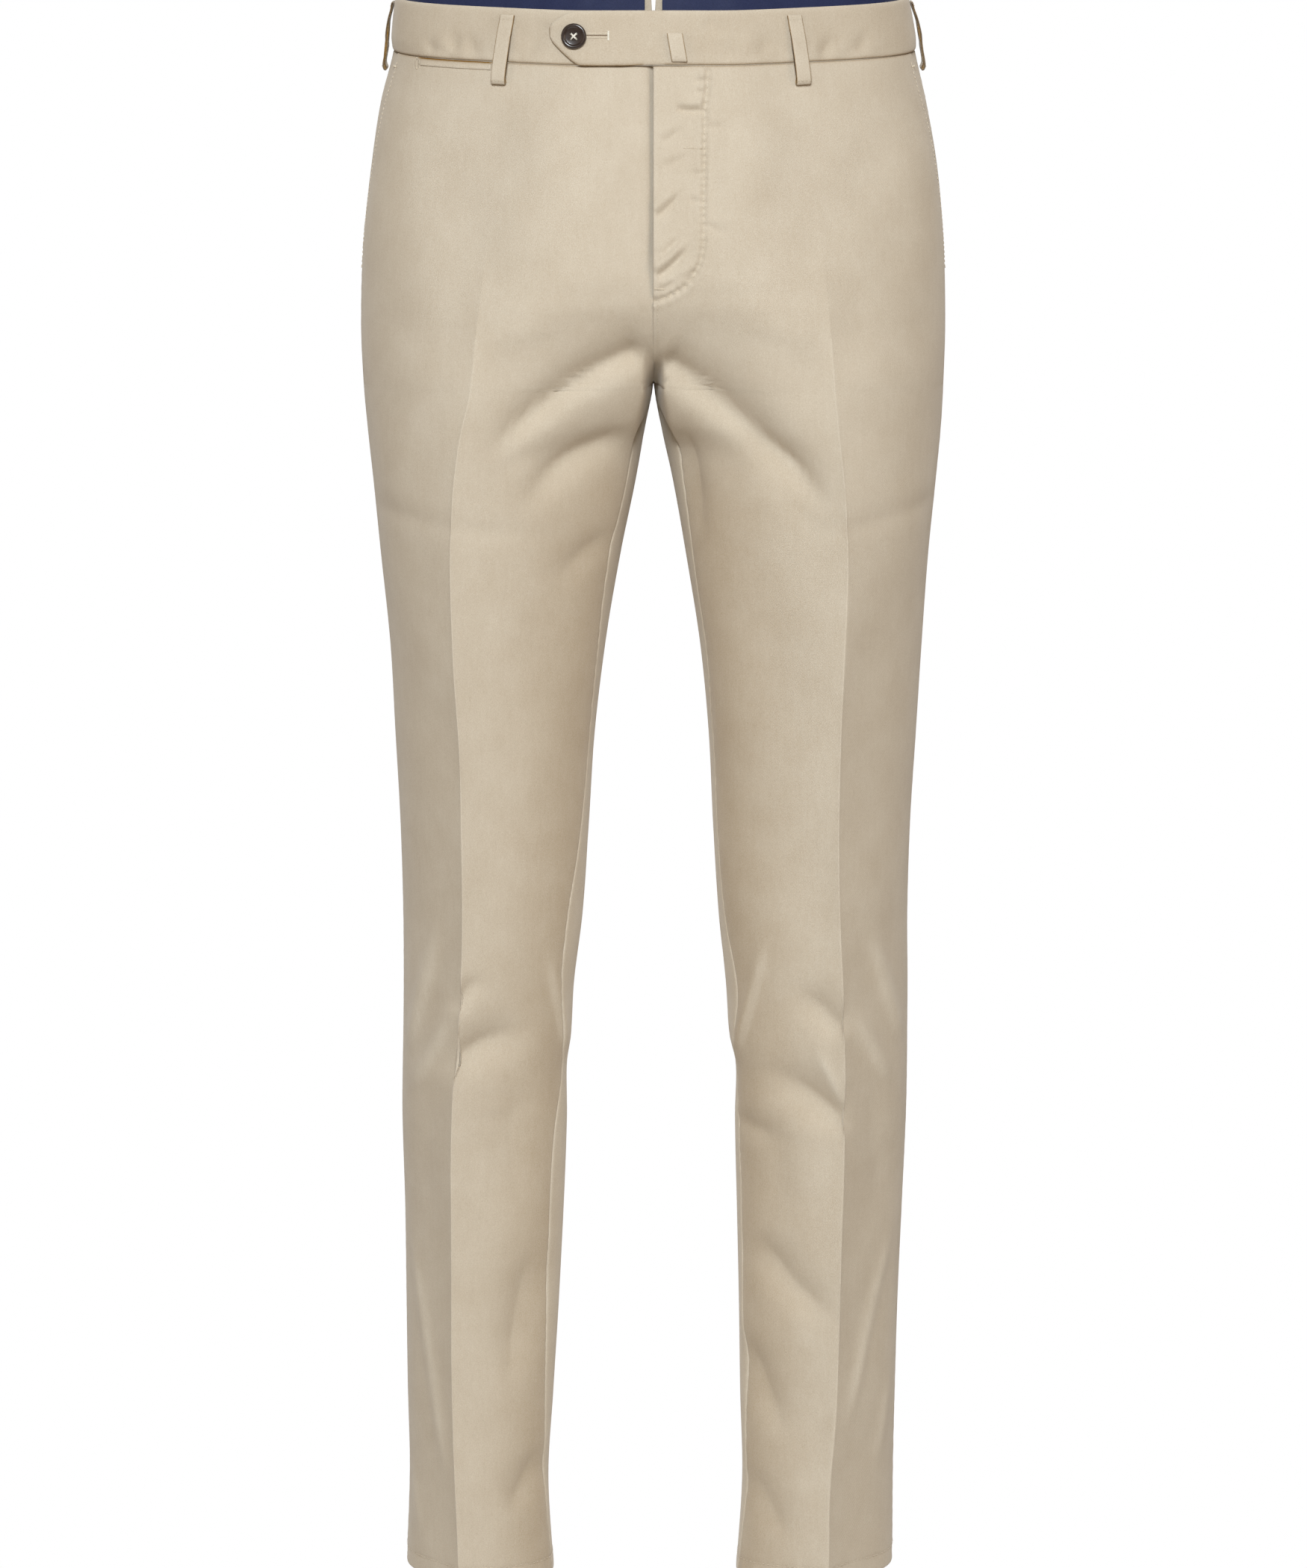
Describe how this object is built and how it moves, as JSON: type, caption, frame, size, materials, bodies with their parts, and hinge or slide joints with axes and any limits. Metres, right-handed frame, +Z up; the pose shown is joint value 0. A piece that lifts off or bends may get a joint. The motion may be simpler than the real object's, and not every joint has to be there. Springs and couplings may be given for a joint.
{
  "type": "chino trousers",
  "caption": "Slim chino trousers with pressed creases, a waistband with a pointed button tab, belt loops, side pockets and a covered fly, filled out as worn.",
  "frame": {"origin": "middle of the waist, level with the waist seam at the sides", "axes": "+Z up, -Y towards the front of the trousers, +X towards the wearer's left"},
  "size_m": [0.3985, 0.2416, 1.1014],
  "materials": {
    "cloth": "matt cotton twill",
    "band_lining": "smooth lining",
    "button": "polished"
  },
  "bodies": {
    "root": {"front_right": "cloth", "front_left": "cloth", "back_right": "cloth", "back_left": "cloth", "pocket_facing_right": "cloth", "pocket_facing_left": "cloth", "fly_shield": "cloth", "waistband_right": "cloth", "waistband_left": "cloth", "waistband_lining_right": "band_lining", "waistband_lining_left": "band_lining", "belt_loop_front_right": "cloth", "belt_loop_front_left": "cloth", "belt_loop_side_right": "cloth", "belt_loop_side_left": "cloth", "belt_loop_back_right": "cloth", "belt_loop_back_left": "cloth", "prong_keeper": "cloth", "waist_button": "button", "coin_pocket_edge": "cloth", "back_pocket_upper_lip_right": "cloth", "back_pocket_lower_lip_right": "cloth", "back_pocket_upper_lip_left": "cloth", "back_pocket_lower_lip_left": "cloth"}
  },
  "joints": []
}
